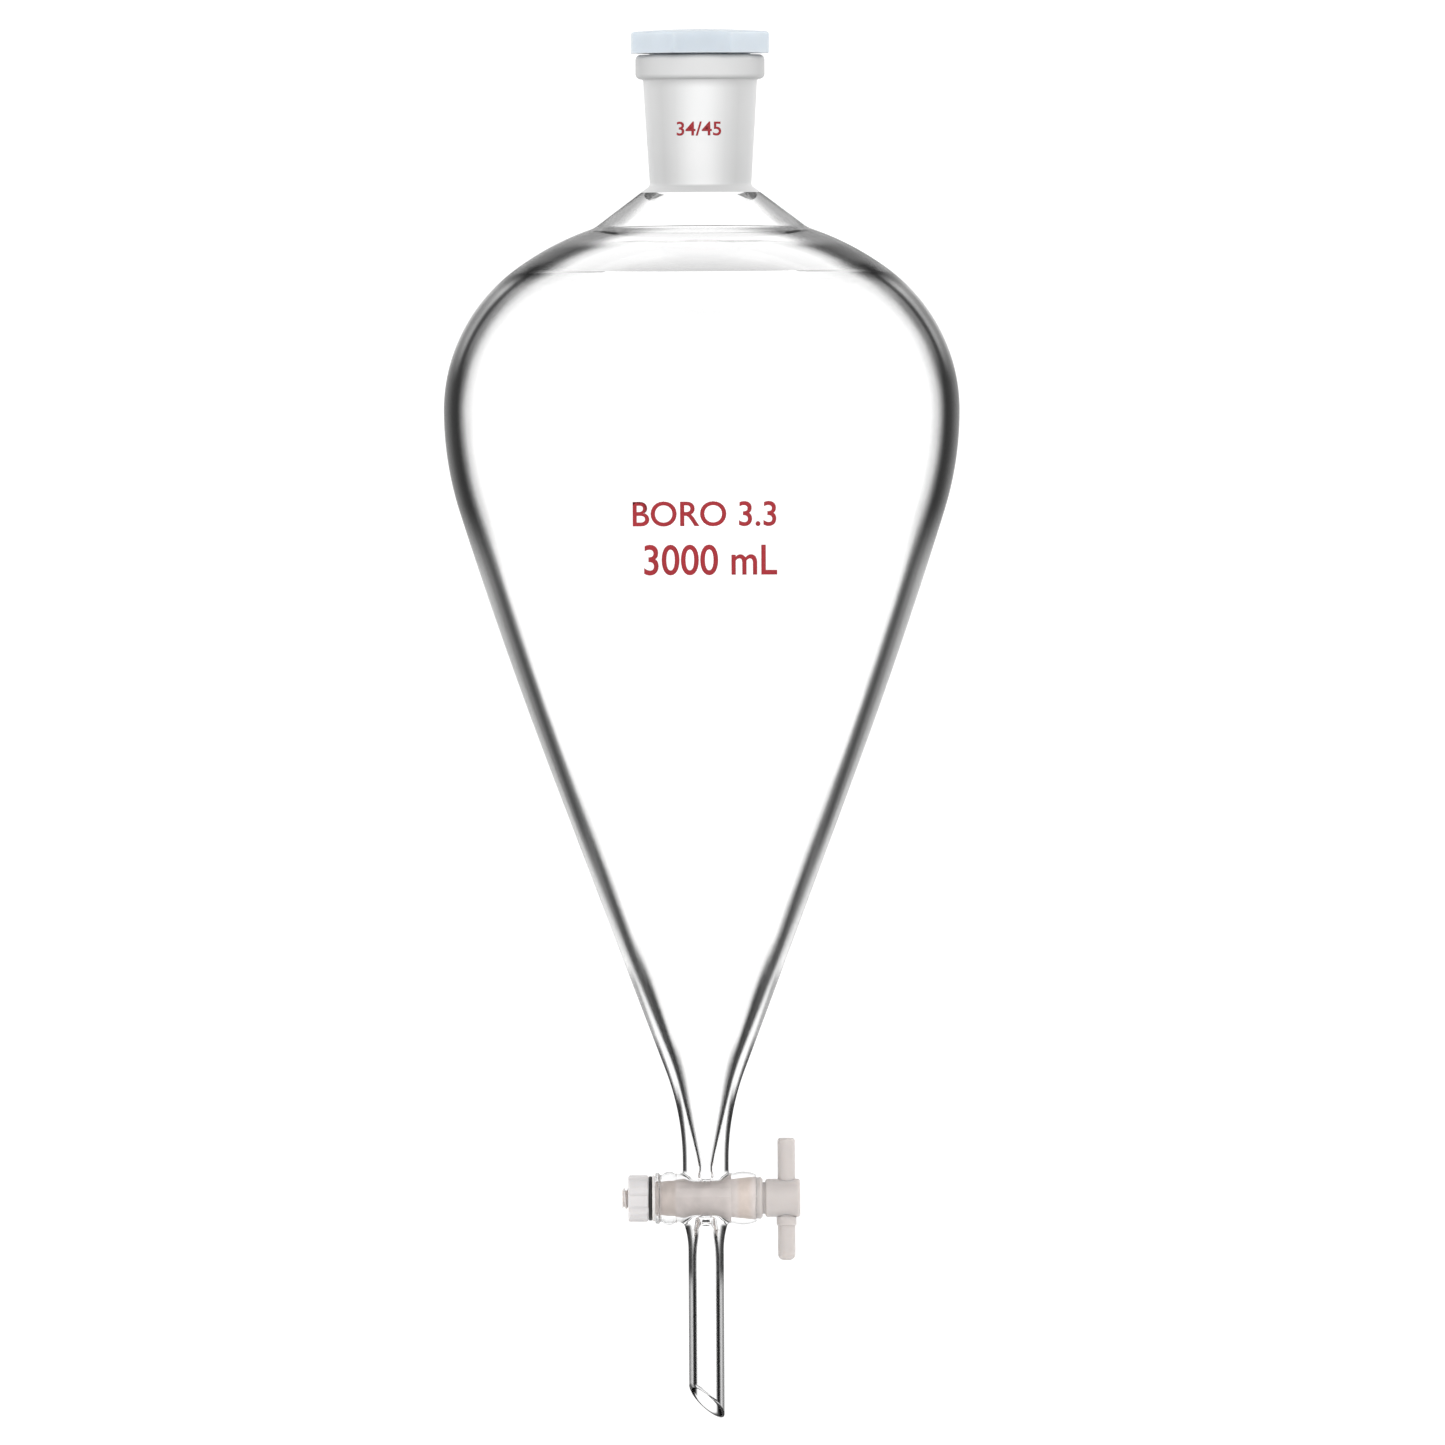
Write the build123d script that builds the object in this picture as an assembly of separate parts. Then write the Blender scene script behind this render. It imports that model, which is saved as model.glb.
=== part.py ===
"""Separatory funnel, 3 litre pear shape, with a plastic stopper and a PTFE stopcock.

Millimetres, +Z up along the funnel's axis.  z = 0 is the height where a 127 mm support ring
touches the cone.  The stopcock's axis runs along X, with its handle at +X and its nut at -X.
"""
from build123d import *
import math
import os

# Support ring and bulb.  The wall outline is a chain of tangent arcs that starts at the equator.
WALL = 4.0
BULB_R = 87.7
EQUATOR_Z = 91.1
SHOULDER_R, SHOULDER_TURN = 59.5, 53.0
CROWN_R, CROWN_TURN = 96.0, 18.0
SADDLE_R, SADDLE_TURN = 8.0, 18.0
BELLY_R, BELLY_TURN = 114.0, 17.5
FLANK_R, FLANK_TURN = 1700.0, 3.2
CONE_LENGTH = 107.4
THROAT_R = 87.0
BORE_THROAT_R = 100.0

# Neck: a 34/45 ground socket, 34.5 mm wide at its mouth, tapering 1 in 10 over 45 mm.
MOUTH_Z = 212.0
SOCKET_MOUTH_R = 17.25
SOCKET_LENGTH = 45.0
SOCKET_TAPER = 1 / 20
NECK_TOP_R = 19.4
NECK_HEADING = 86.0
NECK_FOOT_FILLET = 1.5
NECK_INNER_FILLET = 4.0
BEAD_R = 21.95
BEAD_HEIGHT = 8.3
BEAD_CORNER = 1.8

# Stopper: hollow, with an eight-sided head.
HEAD_FLATS = 46.5
HEAD_BOTTOM_Z = MOUTH_Z + 0.5
HEAD_HEIGHT = 8.2
HEAD_DOME = 0.9
HEAD_CORNER = 1.6
HEAD_RIM = 0.8
HEAD_TWIST = 22.5 + 1.6
HEAD_HOLLOW = 5.0
STOPPER_CLEARANCE = 0.08
STOPPER_LENGTH = 44.0
STOPPER_WALL = 2.0
STOPPER_TIP_FILLET = 5.0

# Stopcock barrel, along X, with a 1 in 5 ground bore that is wider at +X.
COCK_Z = -176.8
BARREL_HALF = 17.2
BARREL_R = 8.4
BARREL_BEAD_R = 8.95
BARREL_WAIST_R = 8.0
BARREL_RIM_R = 8.65
BARREL_RIM_X = -15.7
BARREL_RIM_EDGE = 0.4
LEFT_BEAD_X = (-15.1, -12.7, -10.3)
RIGHT_BEAD_X = (9.3, 13.0, 17.2)
PLUG_MID_R = 5.3
PLUG_TAPER = 1 / 10
SMALL_END_X = -15.0
SMALL_END_R = 4.0
PORT_R = 2.0
ARM_SEAM_Z = -155.0

# Drip stem.
STEM_R = 6.0
STEM_BORE_R = 4.3
STEM_SEAM_Z = -199.0
STEM_FLARE_R = 29.0
STEM_FLARE_TOP_Z = -185.0
STEM_FLARE_BOTTOM_Z = -194.5
TIP_CENTRE_Z = -245.6
TIP_SLOPE = 44.0
TIP_TURN = 33.0

# PTFE plug, its handle and its tail.
PLUG_CLEARANCE = 0.05
PLUG_END_X = 19.3
PLUG_END_R = 6.3
PLUG_BEVEL = 0.6
PLUG_SMALL_X = -16.0
PLUG_TIP_R = 3.65
GROOVE_R = 5.4
HUB_X = (20.2, 32.1)
HUB_R = 6.5
HUB_CORNER = 0.9
HUB_OVERLAP = 0.5
TAIL_END_X = -28.4
TAIL_R = 3.5
TAIL_FLAT = 2.9
HANDLE_X = 27.4
HANDLE_R = 2.97
HANDLE_TOP = 20.4
HANDLE_BOTTOM = 21.2
HANDLE_TOP_EDGE = 1.0
HANDLE_BOTTOM_EDGE = 2.1
HANDLE_COLLAR_R = 3.4
HANDLE_COLLAR_HEIGHT = 2.9
HANDLE_COLLAR_EDGE = 0.3

# Thread on the tail, right-handed, with a relief at its shoulder and room for the nut to run freely.
PITCH = 1.5
THREAD_ROOT_R = 2.8
THREAD_START_X = -18.8
THREAD_RELIEF = 0.35
THREAD_SUNK = 0.4
THREAD_FLANK = 0.62
THREAD_CREST = 0.2
THREAD_ROOM = 0.2

# Washer, O-ring and nut, stacked from the barrel's small end.
WASHER_X = (-18.2, -17.25)
WASHER_R = 7.8
WASHER_ROOM = 0.3
RING_X = (-19.45, -18.2)
RING_R = (3.85, 7.55)
RING_EDGE = 0.5
NUT_X = (-26.4, -19.5)
NUT_R = 7.95
NUT_EDGE = 0.8
NUT_LOBES = 8
NUT_TWIST = 6.7
NUT_GROOVE_R = 2.2
NUT_GROOVE_DEPTH = 0.6

COCK_AXIS = Axis((0, 0, COCK_Z), (1, 0, 0))
SEAM_Z = MOUTH_Z - SOCKET_LENGTH
SOCKET_FOOT_R = SOCKET_MOUTH_R - SOCKET_LENGTH * SOCKET_TAPER
FLARE_HEADING = 90 + SHOULDER_TURN + CROWN_TURN - SADDLE_TURN
CONE_TILT = BELLY_TURN + FLANK_TURN
BIG = 400.0
OVERRUN = 1.0


def spin(*edges, axis=Axis.Z):
    """Solid of revolution from the edges of a closed half section in the XZ plane."""
    return revolve(Plane.XZ * make_face(Curve() + list(edges)), axis)


def rings(points, axis=Axis.Z):
    """Solid of revolution from the corner points (x, z) of a half section."""
    return revolve(Plane.XZ * make_face(Polyline(*points, close=True)), axis)


def about_cock(points):
    """Solid of revolution about the stopcock's axis from points (x, radius)."""
    return rings([(x, COCK_Z + r) for x, r in points], COCK_AXIS)


def upper_wall(inset):
    """Bulb outline from the equator up to the end of the saddle, moved inward by inset."""
    shoulder = JernArc((BULB_R - inset, EQUATOR_Z), (0, 1), SHOULDER_R - inset, SHOULDER_TURN)
    crown = JernArc(shoulder @ 1, shoulder % 1, CROWN_R - inset, CROWN_TURN)
    saddle = JernArc(crown @ 1, crown % 1, SADDLE_R + inset, -SADDLE_TURN)
    return [shoulder, crown, saddle]


def lower_wall(inset, cone_length, throat_r):
    """Bulb outline from the equator down the cone and round the throat, moved inward by inset."""
    belly = JernArc((BULB_R - inset, EQUATOR_Z), (0, -1), BELLY_R - inset, -BELLY_TURN)
    flank = JernArc(belly @ 1, belly % 1, FLANK_R - inset, -FLANK_TURN)
    cone = PolarLine(flank @ 1, cone_length, direction=flank % 1)
    throat = JernArc(cone @ 1, cone % 1, throat_r, CONE_TILT)
    return [belly, flank, cone, throat]


def closed_by_axis(chain_top, chain_bottom, edges):
    """Solid of revolution of an open outline, closed along the Z axis."""
    top = Line(chain_top, (0, chain_top.Y))
    side = Line((0, chain_top.Y), (0, chain_bottom.Y))
    bottom = Line((0, chain_bottom.Y), chain_bottom)
    return spin(*edges, top, side, bottom)


def glass_outside():
    """Outer form of the bulb, its flare below the neck and its upper arm."""
    upper = upper_wall(0)
    saddle = upper[-1]
    climb = (SEAM_Z - (saddle @ 1).Y) / math.sin(math.radians(FLARE_HEADING))
    flare = PolarLine(saddle @ 1, climb, direction=saddle % 1)
    lower = lower_wall(0, CONE_LENGTH, THROAT_R)
    arm = Line(lower[-1] @ 1, ((lower[-1] @ 1).X, COCK_Z))
    return closed_by_axis(flare @ 1, arm @ 1, upper + [flare] + lower + [arm])


def glass_inside():
    """Hollow of the bulb, from the foot of the ground socket to the stopcock's port."""
    upper = upper_wall(WALL)
    saddle = upper[-1]
    heading = math.radians(FLARE_HEADING)
    turned_in = NECK_INNER_FILLET * (1 - math.sin(heading))
    run = ((saddle @ 1).X - SOCKET_FOOT_R - turned_in) / -math.cos(heading)
    flare = PolarLine(saddle @ 1, run, direction=saddle % 1)
    root = JernArc(flare @ 1, flare % 1, NECK_INNER_FILLET, 90 - FLARE_HEADING)
    neck = Line(root @ 1, (SOCKET_FOOT_R, SEAM_Z))
    tilt = math.radians(CONE_TILT)
    narrowed = BORE_THROAT_R * (1 - math.cos(tilt))
    cone_top_r = BULB_R - WALL - (BELLY_R - WALL) * (1 - math.cos(math.radians(BELLY_TURN)))
    cone_top_r -= (FLANK_R - WALL) * (math.cos(math.radians(BELLY_TURN)) - math.cos(tilt))
    cone_length = (cone_top_r - PORT_R - narrowed) / math.sin(tilt)
    lower = lower_wall(WALL, cone_length, BORE_THROAT_R)
    port = Line(lower[-1] @ 1, (PORT_R, COCK_Z))
    return closed_by_axis(neck @ 1, port @ 1, upper + [flare, root, neck] + lower + [port])


def slab(low, high):
    """Everything between two heights."""
    return Pos(0, 0, (low + high) / 2) * Box(BIG, BIG, high - low)


def socket_hollow():
    """The ground taper of the neck."""
    points = [(0, SEAM_Z), (SOCKET_FOOT_R, SEAM_Z), (SOCKET_MOUTH_R, MOUTH_Z), (0, MOUTH_Z)]
    return rings(points)


def neck_socket():
    """Neck tube with its bead, ground inside."""
    flare_end = glass_outside().faces().sort_by(Axis.Z)[-1]
    foot_r = flare_end.bounding_box().size.X / 2
    heading = math.radians(FLARE_HEADING)
    flare_way = (math.cos(heading), math.sin(heading))
    foot = JernArc((foot_r, SEAM_Z), flare_way, NECK_FOOT_FILLET, NECK_HEADING - FLARE_HEADING)
    bead_z = MOUTH_Z - BEAD_HEIGHT
    wall = Line(foot @ 1, (NECK_TOP_R, bead_z))
    tube = closed_by_axis(wall @ 1, foot @ 0, [foot, wall])
    bead = Pos(0, 0, MOUTH_Z - BEAD_HEIGHT / 2) * Cylinder(BEAD_R, BEAD_HEIGHT)
    bead = fillet(bead.edges().filter_by(GeomType.CIRCLE), BEAD_CORNER)
    return tube + bead - socket_hollow()


def bulb():
    """Pear-shaped bulb between the neck seam and the arm seam."""
    return (glass_outside() - glass_inside()) & slab(ARM_SEAM_Z, SEAM_Z)


def plug_taper(start_x, end_x, gap):
    """Corner points of the ground taper between two places on the stopcock's axis."""
    return [(x, PLUG_MID_R + PLUG_TAPER * x - gap) for x in (start_x, end_x)]


def bead_arc(stations, start_r, end_r):
    """Bulge of the barrel's outline over three places on its axis."""
    radii = (start_r, BARREL_BEAD_R, end_r)
    return ThreePointArc(*[(x, COCK_Z + r) for x, r in zip(stations, radii)])


def barrel_outside():
    """Outer form of the barrel, with a rim at its small end and a bead near each end."""
    rim = [(-BARREL_HALF, 0), (-BARREL_HALF, BARREL_RIM_R - BARREL_RIM_EDGE)]
    rim += [(-BARREL_HALF + BARREL_RIM_EDGE, BARREL_RIM_R), (BARREL_RIM_X, BARREL_RIM_R)]
    rim += [(LEFT_BEAD_X[0], BARREL_WAIST_R)]
    start = Polyline(*[(x, COCK_Z + r) for x, r in rim])
    left = bead_arc(LEFT_BEAD_X, BARREL_WAIST_R, BARREL_R)
    right = bead_arc(RIGHT_BEAD_X, BARREL_R, BARREL_WAIST_R)
    middle = Line(left @ 1, right @ 0)
    end = Line(right @ 1, (BARREL_HALF, COCK_Z))
    axis = Line((BARREL_HALF, COCK_Z), (-BARREL_HALF, COCK_Z))
    return spin(start, left, middle, right, end, axis, axis=COCK_AXIS)


def barrel_bore():
    """Ground taper for the plug, opened out to a short cylinder at its small end."""
    start_x, end_x = -BARREL_HALF - OVERRUN, BARREL_HALF + OVERRUN
    points = [(start_x, 0), (start_x, SMALL_END_R), (SMALL_END_X, SMALL_END_R)]
    points += plug_taper(SMALL_END_X, end_x, 0) + [(end_x, 0)]
    return about_cock(points)


def stem_outside():
    """Outer form of the drip stem, flaring into the barrel."""
    turn = math.degrees(math.asin((STEM_FLARE_TOP_Z - STEM_FLARE_BOTTOM_Z) / STEM_FLARE_R))
    flare = JernArc((STEM_R, STEM_FLARE_BOTTOM_Z), (0, 1), STEM_FLARE_R, -turn)
    rise = Line(flare @ 1, ((flare @ 1).X, COCK_Z))
    tube = Line(flare @ 0, (STEM_R, TIP_CENTRE_Z - STEM_R * 2))
    return closed_by_axis(rise @ 1, tube @ 1, [rise, flare, tube])


def stem_inside():
    """Bore of the drip stem, narrowing to the stopcock's port."""
    port_z = COCK_Z - PLUG_MID_R
    rise = port_z - STEM_SEAM_Z
    narrowed = STEM_BORE_R - PORT_R
    radius = (rise ** 2 + narrowed ** 2) / (2 * narrowed)
    turn = math.degrees(math.asin(rise / radius))
    throat = JernArc((STEM_BORE_R, STEM_SEAM_Z), (0, 1), radius, turn)
    port = Line(throat @ 1, (PORT_R, COCK_Z))
    tube = Line(throat @ 0, (STEM_BORE_R, TIP_CENTRE_Z - STEM_R * 2))
    return closed_by_axis(port @ 1, tube @ 1, [port, throat, tube])


def stopcock_barrel():
    """Barrel with the lower end of the bulb's arm and the upper end of the stem fused to it."""
    upper_arm = glass_outside() & slab(COCK_Z, ARM_SEAM_Z)
    lower_arm = stem_outside() & slab(STEM_SEAM_Z, COCK_Z)
    barrel = barrel_outside() + upper_arm + lower_arm
    return barrel - glass_inside() - stem_inside() - barrel_bore()


def drip_stem():
    """Straight stem, cut off at a slant."""
    stem = (stem_outside() - stem_inside()) & slab(TIP_CENTRE_Z - STEM_R * 2, STEM_SEAM_Z)
    below = Pos(0, 0, TIP_CENTRE_Z) * Rot(0, 0, TIP_TURN) * Rot(0, TIP_SLOPE, 0) * Pos(0, 0, -BIG / 2)
    return stem - below * Box(BIG, BIG, BIG)


def end_rim(solid, which, edge):
    """Solid with the round edge at its top (-1) or its bottom (0) rounded off."""
    return fillet(solid.edges().filter_by(GeomType.CIRCLE).sort_by(Axis.Z)[which], edge)


def stopper():
    """Hollow stopper: a tapered body that fits the socket and a domed eight-sided head."""
    bottom_z = MOUTH_Z - STOPPER_LENGTH
    top_r = SOCKET_MOUTH_R - STOPPER_CLEARANCE
    bottom_r = top_r - STOPPER_LENGTH * SOCKET_TAPER
    cone = [(0, bottom_z), (bottom_r, bottom_z), (top_r, MOUTH_Z)]
    body = rings(cone + [(top_r, HEAD_BOTTOM_Z), (0, HEAD_BOTTOM_Z)])
    body = end_rim(body, 0, STOPPER_TIP_FILLET)
    head = extrude(RegularPolygon(HEAD_FLATS / 2, 8, major_radius=False), HEAD_HEIGHT)
    head = fillet(head.edges().filter_by(Axis.Z), HEAD_CORNER)
    head = Pos(0, 0, HEAD_BOTTOM_Z) * Rot(0, 0, HEAD_TWIST) * head
    dome_r = ((HEAD_FLATS / 2) ** 2 + HEAD_DOME ** 2) / (2 * HEAD_DOME)
    dome = Pos(0, 0, HEAD_BOTTOM_Z + HEAD_HEIGHT - dome_r) * Sphere(dome_r)
    head = head & dome
    top = head.faces().sort_by(Axis.Z)[-1]
    head = fillet(top.edges(), HEAD_RIM)
    hollow_r = bottom_r - STOPPER_WALL
    hollow = [(0, bottom_z + STOPPER_WALL), (hollow_r, bottom_z + STOPPER_WALL)]
    hollow += [(top_r - STOPPER_WALL, MOUTH_Z), (top_r - STOPPER_WALL, HEAD_BOTTOM_Z + HEAD_HOLLOW)]
    hollow = rings(hollow + [(0, HEAD_BOTTOM_Z + HEAD_HOLLOW)])
    return body + head - end_rim(hollow, 0, STOPPER_TIP_FILLET - STOPPER_WALL)


def rod_along_cock(start_x, end_x, radius):
    """Plain cylinder on the stopcock's axis."""
    return Pos((start_x + end_x) / 2, 0, COCK_Z) * Rot(0, 90, 0) * Cylinder(radius, end_x - start_x)


def tube_along_cock(x_range, outer_r, edge):
    """Cylinder on the stopcock's axis with rounded rims."""
    length = x_range[1] - x_range[0]
    solid = Cylinder(outer_r, length)
    solid = fillet(solid.edges().filter_by(GeomType.CIRCLE), edge)
    return Pos(sum(x_range) / 2, 0, COCK_Z) * Rot(0, 90, 0) * solid


def thread_ridge(room):
    """Helical ridge of the tail's thread, made larger all round by room."""
    length = THREAD_START_X - TAIL_END_X + 2 * PITCH
    path = Helix(PITCH, length, THREAD_ROOT_R)
    section = Plane(origin=path @ 0, z_dir=path % 0, x_dir=(1, 0, 0))
    foot = THREAD_FLANK + room
    crest = THREAD_CREST + room
    depth = TAIL_R - THREAD_ROOT_R + room
    corners = [(-THREAD_SUNK, -foot), (-THREAD_SUNK, foot), (depth, crest), (depth, -crest)]
    outline = Polygon(*corners, align=None)
    ridge = sweep(section * outline, path, is_frenet=True)
    return Pos(THREAD_START_X + PITCH, 0, COCK_Z) * Rot(0, -90, 0) * ridge


def threaded_tail():
    """Thread of the tail, from its relief to the tail's end."""
    relief_x = THREAD_START_X - THREAD_RELIEF
    ridge = thread_ridge(0) & rod_along_cock(TAIL_END_X, relief_x, TAIL_R + THREAD_SUNK)
    return rod_along_cock(TAIL_END_X, THREAD_START_X, THREAD_ROOT_R) + ridge


def stopcock_plug():
    """Plug with its cross port, the hub for the handle and the threaded, flatted tail."""
    neck_x = HUB_X[0] + HUB_OVERLAP
    points = [(THREAD_START_X, 0), (THREAD_START_X, TAIL_R), (PLUG_SMALL_X, TAIL_R)]
    points += [(PLUG_SMALL_X, PLUG_TIP_R), (SMALL_END_X, PLUG_TIP_R)]
    points += plug_taper(SMALL_END_X, PLUG_END_X - PLUG_BEVEL, PLUG_CLEARANCE)
    points += [(PLUG_END_X, PLUG_END_R), (PLUG_END_X, GROOVE_R), (neck_x, GROOVE_R), (neck_x, 0)]
    plug = threaded_tail() + about_cock(points) + tube_along_cock(HUB_X, HUB_R, HUB_CORNER)
    flat = Pos((TAIL_END_X + PLUG_SMALL_X) / 2, TAIL_FLAT + TAIL_R / 2, COCK_Z)
    plug -= flat * Box(PLUG_SMALL_X - TAIL_END_X, TAIL_R, 3 * TAIL_R)
    plug -= Pos(0, 0, COCK_Z) * Cylinder(PORT_R, 3 * PLUG_MID_R)
    return plug - Pos(HANDLE_X, 0, COCK_Z) * Cylinder(HANDLE_R, 3 * HUB_R)


def handle_bar():
    """Cross bar pressed through the hub, with the collar that stops it below."""
    bar = Cylinder(HANDLE_R, HANDLE_TOP + HANDLE_BOTTOM)
    bar = end_rim(end_rim(bar, -1, HANDLE_TOP_EDGE), 0, HANDLE_BOTTOM_EDGE)
    collar = end_rim(Cylinder(HANDLE_COLLAR_R, HANDLE_COLLAR_HEIGHT), 0, HANDLE_COLLAR_EDGE)
    collar = Pos(0, 0, -HUB_R - HANDLE_COLLAR_HEIGHT / 2) * collar
    bar = Pos(0, 0, (HANDLE_TOP - HANDLE_BOTTOM) / 2) * bar
    return Pos(HANDLE_X, 0, COCK_Z) * (bar + collar)


def washer():
    """Flat washer, keyed to the flat of the tail."""
    thick = WASHER_X[1] - WASHER_X[0]
    behind_flat = Pos(TAIL_FLAT + WASHER_ROOM + TAIL_R, 0) * Rectangle(2 * TAIL_R, BIG)
    hole = Circle(TAIL_R + WASHER_ROOM) - behind_flat
    disc = extrude(Circle(WASHER_R) - hole, thick)
    turned = Plane(origin=(WASHER_X[0], 0, COCK_Z), x_dir=(0, 1, 0), z_dir=(1, 0, 0))
    return turned * disc


def o_ring():
    """Rubber ring, squeezed flat between the washer and the nut."""
    section = Pos(sum(RING_X) / 2, COCK_Z + sum(RING_R) / 2)
    section *= RectangleRounded(RING_X[1] - RING_X[0], RING_R[1] - RING_R[0], RING_EDGE)
    return revolve(Plane.XZ * section, COCK_AXIS)


def lock_nut():
    """Nut with eight shallow finger grooves and a thread that meets the tail's."""
    nut = tube_along_cock(NUT_X, NUT_R, NUT_EDGE)
    step = 360 / NUT_LOBES
    for lobe in range(NUT_LOBES):
        angle = NUT_TWIST + (lobe + 0.5) * step
        reach = NUT_R + NUT_GROOVE_R - NUT_GROOVE_DEPTH
        groove = Pos(0, -reach, 0) * Rot(0, 90, 0) * Cylinder(NUT_GROOVE_R, BIG)
        nut -= Pos(0, 0, COCK_Z) * Rot(angle, 0, 0) * groove
    bore = rod_along_cock(NUT_X[0] - OVERRUN, NUT_X[1] + OVERRUN, THREAD_ROOT_R + THREAD_ROOM)
    return nut - (bore + thread_ridge(THREAD_ROOM))


def main():
    nodes = {
        "neck_socket": neck_socket(),
        "bulb": bulb(),
        "stopcock_barrel": stopcock_barrel(),
        "drip_stem": drip_stem(),
        "stopper": stopper(),
        "stopcock_plug": stopcock_plug(),
        "handle_bar": handle_bar(),
        "washer": washer(),
        "o_ring": o_ring(),
        "lock_nut": lock_nut(),
    }
    os.makedirs("parts", exist_ok=True)
    for name, shape in nodes.items():
        export_step(shape, f"parts/{name}.step")


main()
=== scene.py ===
"""Looks of the separatory funnel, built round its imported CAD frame."""

import math

import bmesh
import bpy
import numpy as np
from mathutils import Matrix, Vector


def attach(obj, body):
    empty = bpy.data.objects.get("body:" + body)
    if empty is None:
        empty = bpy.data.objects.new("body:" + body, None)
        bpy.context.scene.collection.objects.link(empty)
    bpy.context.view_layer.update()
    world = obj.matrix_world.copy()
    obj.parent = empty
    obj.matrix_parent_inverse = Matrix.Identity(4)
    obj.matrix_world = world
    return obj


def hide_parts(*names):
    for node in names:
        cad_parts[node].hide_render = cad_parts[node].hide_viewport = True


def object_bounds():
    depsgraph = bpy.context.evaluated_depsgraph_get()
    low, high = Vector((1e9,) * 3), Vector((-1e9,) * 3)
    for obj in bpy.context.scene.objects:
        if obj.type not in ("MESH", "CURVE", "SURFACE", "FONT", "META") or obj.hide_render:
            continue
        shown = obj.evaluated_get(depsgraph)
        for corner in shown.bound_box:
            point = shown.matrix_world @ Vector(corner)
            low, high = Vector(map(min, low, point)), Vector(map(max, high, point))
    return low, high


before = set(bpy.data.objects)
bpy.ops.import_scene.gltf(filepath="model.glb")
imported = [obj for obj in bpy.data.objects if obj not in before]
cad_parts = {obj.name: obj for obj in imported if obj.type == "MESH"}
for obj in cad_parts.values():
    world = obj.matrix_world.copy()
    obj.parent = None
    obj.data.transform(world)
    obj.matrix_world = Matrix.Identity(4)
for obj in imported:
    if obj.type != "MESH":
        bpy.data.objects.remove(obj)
CAD_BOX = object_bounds()

MM = 0.001
TAU = 2 * math.pi

# Glass dimensions in millimetres, as in the CAD model. The wall's arcs are (radius, turn in degrees).
WALL = 4.0
BULB_R, EQUATOR_Z = 87.7, 91.1
SHOULDER, CROWN, SADDLE = (59.5, 53.0), (96.0, 18.0), (8.0, -18.0)
BELLY, FLANK = (114.0, 17.5), (1700.0, 3.2)
CONE_TILT, CONE_LENGTH, THROAT_R = BELLY[1] + FLANK[1], 107.4, 87.0
MOUTH_Z, SOCKET_LENGTH = 212.0, 45.0
SOCKET_MOUTH_R, SOCKET_FOOT_R = 17.25, 15.0
NECK_TOP_R, NECK_FOOT_FILLET, NECK_INNER_FILLET = 19.4, 1.5, 4.0
NECK_HEADING = 86.0
BEAD_R, BEAD_HEIGHT, BEAD_CORNER = 21.95, 8.3, 1.8
COCK_Z = -176.8
BARREL_HALF, BARREL_R, BARREL_WAIST_R = 17.2, 8.4, 8.0
RIM_R, RIM_MIDDLE_X, RIM_HALF = 8.65, -16.45, 0.75
LEFT_BEAD = ((-15.1, 8.0), (-12.7, 8.95), (-10.3, 8.4))
RIGHT_BEAD = ((9.3, 8.4), (13.0, 8.95), (17.2, 8.0))
PORT_R = 2.0
STEM_R, STEM_BORE_R = 6.0, 4.3
STEM_FLARE_R, STEM_FLARE_TOP_Z, STEM_FLARE_BOTTOM_Z = 29.0, -185.0, -194.5
PLUG_MID_R, PLUG_TAPER = 5.3, 0.1
SMALL_END_X, SMALL_END_R = -15.0, 4.0
ARM_SEAM_Z, STEM_SEAM_Z = -155.0, -199.0
TIP_CENTRE_Z, TIP_SLOPE, TIP_TURN = -245.6, 44.0, 33.0

# Dimensions that only the looks have. The hollow above the port is a little wider than the CAD model's.
BORE_THROAT_R, PORT_CONE_TILT, PORT_CONE_LENGTH = 91.0, 12.5, 27.4
LIP_EDGE = 0.5
BEAD_FOOT_WIDTH, BEAD_FOOT_DROP = 0.5, 0.4
# The arms end on the barrel, this far from the stopcock's axis.
ARM_STOP = 6.4
# The tip is raised this much, so that its rounded edge ends level with the CAD model's lowest point.
TIP_RAISE = 0.35
TIP_FALL = math.tan(math.radians(TIP_SLOPE))
# How widely the stopcock's surfaces blend where they meet.
FUSED, ARM_EDGE, BARREL_EDGE, RIM_FOOT, BORE_EDGE = 1.1, 1.0, 0.6, 0.3, 0.25

# Mesh fineness: vertices round a ring, degrees and millimetres along an arc, millimetres along a line,
# and the cell of the stopcock's net.
ROUND = 224
ARC_STEP, ARC_PITCH = 1.5, 3.0
LINE_PITCH, STEM_PITCH = 3.0, 1.2
CELL = 0.36

# Material slots of the glass, and where they change. A level line of sight drops a little as it crosses
# the wall, so the hollow side changes lower than the outside.
CLEAR, HOLLOW, GROUND, BORE, FLARE, FLARE_HOLLOW, END_BEAD = range(7)
FROST_FOOT_Z = 165.8
FLARE_FOOT_Z, FLARE_HOLLOW_FOOT_Z = 138.0, 136.7
END_BEAD_X = 8.6
# Heights in metres between which the neck's painted shade gives way to the bead's.
BEAD_SHADE_Z = (0.2030, 0.2038)
GLASS_IOR, FLARE_IOR, END_BEAD_IOR = 1.47, 1.2, 1.05

# Lettering in millimetres: (name, text, lowest and highest, left and right round the front).
MARKS = (
    ("volume_mark", "3000 mL", (34.8, 45.2), (-20.0, 25.8)),
    ("glass_mark", "BORO 3.3", (51.35, 59.85), (-23.9, 25.5)),
    ("joint_mark", "34/45", (184.3, 189.1), (-8.3, 7.3)),
)
LETTER_WEIGHT = 0.012
LETTER_FOOT, LETTER_FACE = 0.02, 0.07
LETTER_PITCH, LETTER_CUTS = 1.2, 3

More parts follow.
